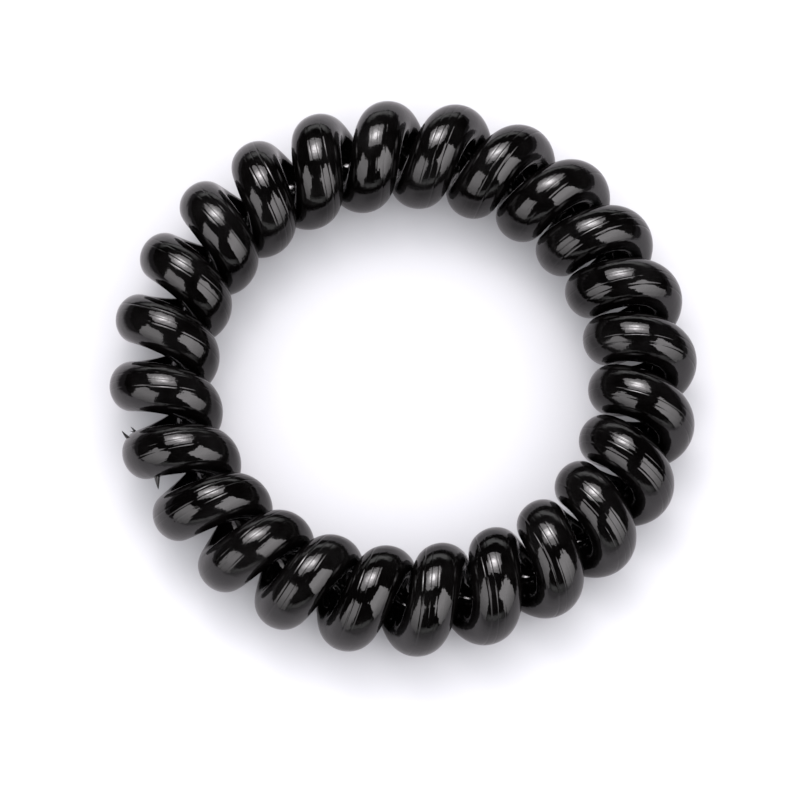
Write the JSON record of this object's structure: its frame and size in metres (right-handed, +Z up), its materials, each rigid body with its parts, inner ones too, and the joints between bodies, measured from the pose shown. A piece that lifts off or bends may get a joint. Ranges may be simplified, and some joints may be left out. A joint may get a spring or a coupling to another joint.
{
  "type": "spiral hair tie",
  "caption": "Closed ring of one glossy black coiled plastic strand, for holding a ponytail or wearing on a wrist.",
  "frame": {"origin": "on the surface that the ring lies on, straight below the middle of its opening", "axes": "+Z up, along the middle of the ring's opening; -Y towards the picture's viewer; the weld lies on the -X side, about 20 degrees round towards -Y"},
  "size_m": [0.0523, 0.052, 0.0098],
  "materials": {
    "strand": "glossy black soft plastic with fine lines along the strand"
  },
  "bodies": {
    "root": {"strand": "strand"}
  },
  "joints": []
}
